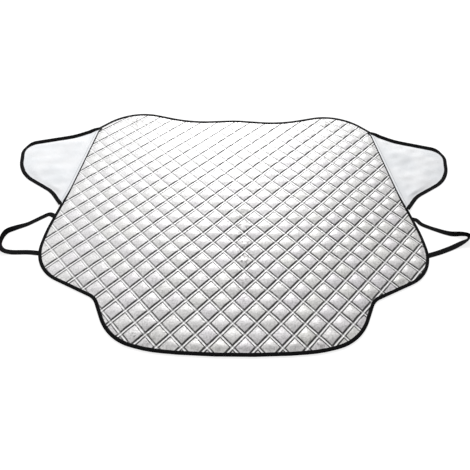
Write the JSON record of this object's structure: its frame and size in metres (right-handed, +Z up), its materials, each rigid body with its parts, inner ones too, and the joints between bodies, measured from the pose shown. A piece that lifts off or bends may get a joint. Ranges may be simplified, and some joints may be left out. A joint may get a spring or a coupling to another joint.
{
  "type": "car sun shade",
  "caption": "Quilted silver windscreen cover for a car, bound in black tape, with cloth door flaps and webbing mirror loops at its sides, laid out flat.",
  "frame": {"origin": "on the floor, at the middle of the cover's bounding box", "axes": "+Z up, out of the silver side; +Y towards the roof edge; +X across the car, to the right of the silver side as seen from above with the roof edge away"},
  "size_m": [1.9592, 1.2124, 0.02],
  "materials": {
    "silver_film": "aluminised film with a fine crinkled grain, quilted over wadding",
    "black_tape": "woven polyester edging tape, matt",
    "black_webbing": "flat ribbed webbing, matt",
    "pale_cloth": "thin coated cloth, soft sheen"
  },
  "bodies": {
    "root": {"quilted_panel": "silver_film", "panel_binding": "black_tape", "left_flap_binding": "black_tape", "right_flap_binding": "black_tape", "left_mirror_strap": "black_webbing", "right_mirror_strap": "black_webbing", "left_door_flap": "pale_cloth", "right_door_flap": "pale_cloth"}
  },
  "joints": []
}
